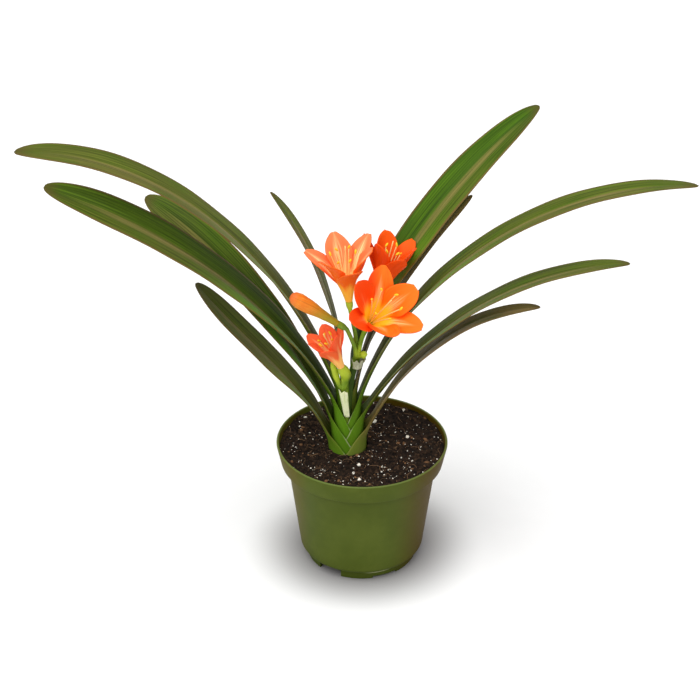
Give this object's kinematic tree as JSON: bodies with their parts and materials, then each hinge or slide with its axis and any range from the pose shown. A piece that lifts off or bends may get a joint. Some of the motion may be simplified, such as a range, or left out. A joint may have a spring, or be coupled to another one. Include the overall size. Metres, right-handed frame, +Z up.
{
  "type": "potted clivia plant",
  "caption": "House plant with strap-like arching leaves in two ranks and orange funnel flowers on flat stalks, growing in a round, tapered nursery pot full of soil.",
  "frame": {"origin": "on the ground under the middle of the whole plant's box, which is the pot's axis to within 3 mm", "axes": "+Z up; +X along the fan of leaves, to the right seen from the front; -Y is the front, which the picture faces"},
  "size_m": [0.5824, 0.1643, 0.4234],
  "materials": {
    "pot": "satin moulded olive green",
    "soil": "crumbly dark mix with white grains",
    "rootstock": "fibrous, pale",
    "leaf": "waxy dark green with fine parallel veins",
    "stalk": "smooth light green",
    "petal_salmon": "soft satin, yellow stripes to the throat",
    "petal_vermilion": "soft satin, red-orange",
    "petal_orange": "soft satin, yellow throat",
    "petal_coral": "soft satin, coral",
    "bud": "soft satin, orange over olive",
    "dried_paper": "dry, papery",
    "spathe": "matte, cream"
  },
  "bodies": {
    "root": {"Bloom_Front": "petal_orange", "Bloom_Left": "petal_salmon", "Bloom_Low": "petal_coral", "Bloom_Right": "petal_vermilion", "Bud_Orange": "bud", "Dried_Bracts": "dried_paper", "Leaf_Left_1": "leaf", "Leaf_Left_2": "leaf", "Leaf_Left_3": "leaf", "Leaf_Left_4": "leaf", "Leaf_Left_5": "leaf", "Leaf_Right_1": "leaf", "Leaf_Right_2": "leaf", "Leaf_Right_3": "leaf", "Leaf_Right_4": "leaf", "Leaf_Right_5": "leaf", "Pale_Spathe": "spathe", "Pot": "pot", "Rootstock": "rootstock", "Second_Scape": "stalk", "Soil": "soil", "Umbel": "stalk"}
  },
  "joints": []
}
